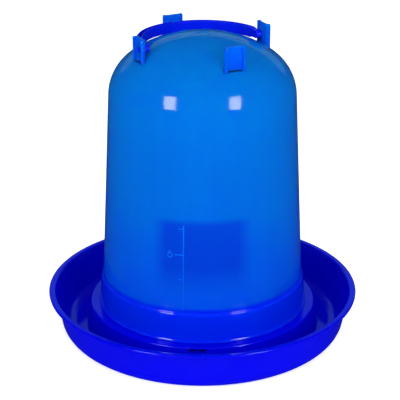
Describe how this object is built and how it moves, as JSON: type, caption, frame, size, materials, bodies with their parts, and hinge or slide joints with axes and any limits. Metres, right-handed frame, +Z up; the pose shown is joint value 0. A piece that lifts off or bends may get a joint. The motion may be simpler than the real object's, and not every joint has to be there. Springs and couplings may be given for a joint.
{
  "type": "poultry waterer fount",
  "caption": "Vacuum poultry fount: domed translucent reservoir with moulded feet and folding bail, seated by bayonet in a round drinking tray.",
  "frame": {"origin": "centre of the tray's underside, on the surface it stands on", "axes": "+Z up, +X along the bail's pivot axis, +Y towards the side the bail is folded to"},
  "size_m": [0.346, 0.346, 0.3445],
  "materials": {
    "tray_plastic": "glossy solid blue moulded plastic",
    "reservoir_plastic": "translucent lighter blue moulded plastic, satin gloss",
    "bail_plastic": "glossy solid blue moulded plastic"
  },
  "bodies": {
    "tray": {"tray": "tray_plastic"},
    "reservoir": {"reservoir": "reservoir_plastic"},
    "bail": {"bail": "bail_plastic"}
  },
  "joints": [
    {"name": "lift_off", "type": "slide", "parent": "tray", "child": "reservoir", "axis": [0, 0, 1], "range_m": [0, 0.09]},
    {"name": "bail_pivot", "type": "hinge", "parent": "reservoir", "child": "bail", "pos_m": [0, 0, 0.3318], "axis": [1, 0, 0], "range_deg": [0, 180]}
  ]
}
